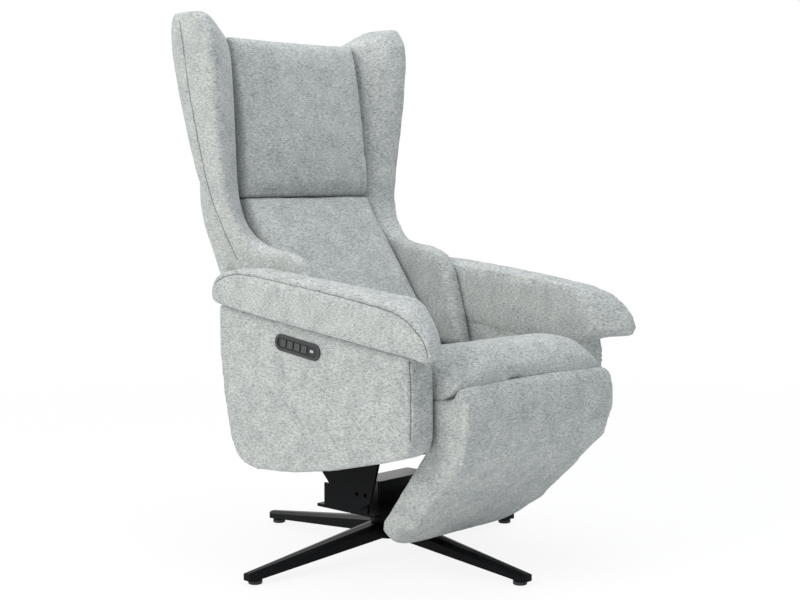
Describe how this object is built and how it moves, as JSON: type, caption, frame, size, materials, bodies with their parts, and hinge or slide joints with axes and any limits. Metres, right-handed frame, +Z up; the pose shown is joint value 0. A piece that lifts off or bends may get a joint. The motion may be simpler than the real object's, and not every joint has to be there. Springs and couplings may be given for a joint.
{
  "type": "recliner",
  "caption": "Swivel recliner with a winged reclining back, tilting headrest, padded arms, control panel, folding footrest and star base.",
  "frame": {"origin": "on the floor, on the swivel axis", "axes": "+Z up, the sitter faces -Y, the sitter's left arm at +X"},
  "size_m": [0.7758, 0.8192, 1.13],
  "materials": {
    "black_metal": "satin black powder coat",
    "steel": "bright drawn steel",
    "glide_rubber": "matt black",
    "upholstery": "light grey chenille velvet",
    "webbing": "elastic webbing",
    "frame_wood": "plywood",
    "black_plastic": "moulded black",
    "graphite_bezel": "graphite satin",
    "button_grey": "satin grey",
    "lamp_lens": "clear gloss"
  },
  "bodies": {
    "base": {"star_base": "black_metal", "foot_glides": "glide_rubber", "swivel_column": "steel", "lower_race": "steel"},
    "seat": {"upper_race": "steel", "swivel_spindle": "steel", "swivel_plate": "black_metal", "side_plate_right": "black_metal", "side_plate_left": "black_metal", "seat_rail_right": "black_metal", "seat_rail_left": "black_metal", "cross_tubes": "black_metal", "seat_posts": "black_metal", "seat_frame": "frame_wood", "seat_webbing": "webbing", "seat_cushion": "upholstery", "arm_panel_right": "upholstery", "arm_panel_left": "upholstery", "arm_pad_right": "upholstery", "arm_pad_left": "upholstery", "arm_spacers": "steel", "control_housing": "black_plastic", "control_bezel": "graphite_bezel", "control_lamp": "lamp_lens", "power_box": "black_plastic", "power_inlet": "black_plastic", "runners": "black_metal", "footrest_motor": "black_plastic", "hinge_brackets": "black_metal", "hinge_pins": "steel"},
    "back": {"back_uprights": "black_metal", "back_rails": "black_metal", "back_webbing": "webbing", "rear_cover": "upholstery", "lumbar_cushion": "upholstery", "bolster_right": "upholstery", "bolster_left": "upholstery", "wing_right": "upholstery", "wing_left": "upholstery", "head_lugs": "black_metal", "head_pin": "steel", "drive_lug": "black_metal"},
    "headrest": {"head_cushion": "upholstery", "head_plate": "black_metal", "head_ratchet": "steel"},
    "carriage": {"slide_bars": "black_metal", "carriage_bar": "black_metal", "footrest_rod": "steel", "foot_pins": "steel"},
    "footrest": {"foot_board": "frame_wood", "foot_cushion": "upholstery", "foot_knuckles": "black_metal"},
    "recline_motor": {"recline_motor": "black_plastic"},
    "recline_rod": {"recline_rod": "steel"},
    "button_1": {"button_1": "button_grey"},
    "button_2": {"button_2": "button_grey"},
    "button_3": {"button_3": "button_grey"},
    "button_4": {"button_4": "button_grey"}
  },
  "joints": [
    {"name": "swivel", "type": "hinge", "parent": "base", "child": "seat", "pos_m": [0, 0, 0.1], "axis": [0, 0, 1], "continuous": true},
    {"name": "back_recline", "type": "hinge", "parent": "seat", "child": "back", "pos_m": [0, 0.078, 0.345], "axis": [-1, 0, 0], "range_deg": [0, 35]},
    {"name": "head_tilt", "type": "hinge", "parent": "back", "child": "headrest", "pos_m": [0, 0.334, 0.782], "axis": [1, 0, 0], "range_deg": [0, 25]},
    {"name": "footrest_extend", "type": "slide", "parent": "seat", "child": "carriage", "axis": [0, -0.9063, 0.4226], "range_m": [0, 0.2]},
    {"name": "footrest_lift", "type": "hinge", "parent": "carriage", "child": "footrest", "pos_m": [0, -0.335, 0.366], "axis": [-1, 0, 0], "range_deg": [0, 120]},
    {"name": "motor_swing", "type": "hinge", "parent": "seat", "child": "recline_motor", "pos_m": [0, -0.205, 0.26362], "axis": [1, 0, 0], "range_deg": [-5.22, 0]},
    {"name": "rod_travel", "type": "slide", "parent": "recline_motor", "child": "recline_rod", "axis": [0, 0.9987, 0.0517], "range_m": [-0.04961, 0]},
    {"name": "press_1", "type": "slide", "parent": "seat", "child": "button_1", "axis": [1, 0, 0], "range_m": [0, 0.0015], "stiffness_N_per_m": 600, "springref_m": -0.0005},
    {"name": "press_2", "type": "slide", "parent": "seat", "child": "button_2", "axis": [1, 0, 0], "range_m": [0, 0.0015], "stiffness_N_per_m": 600, "springref_m": -0.0005},
    {"name": "press_3", "type": "slide", "parent": "seat", "child": "button_3", "axis": [1, 0, 0], "range_m": [0, 0.0015], "stiffness_N_per_m": 600, "springref_m": -0.0005},
    {"name": "press_4", "type": "slide", "parent": "seat", "child": "button_4", "axis": [1, 0, 0], "range_m": [0, 0.0015], "stiffness_N_per_m": 600, "springref_m": -0.0005}
  ],
  "couplings": [
    {"joint": "footrest_lift", "follows": "footrest_extend", "rad_per_m": 10.472},
    {"joint": "motor_swing", "follows": "back_recline", "ratio": -0.14633},
    {"joint": "rod_travel", "follows": "back_recline", "m_per_rad": -0.080893}
  ]
}
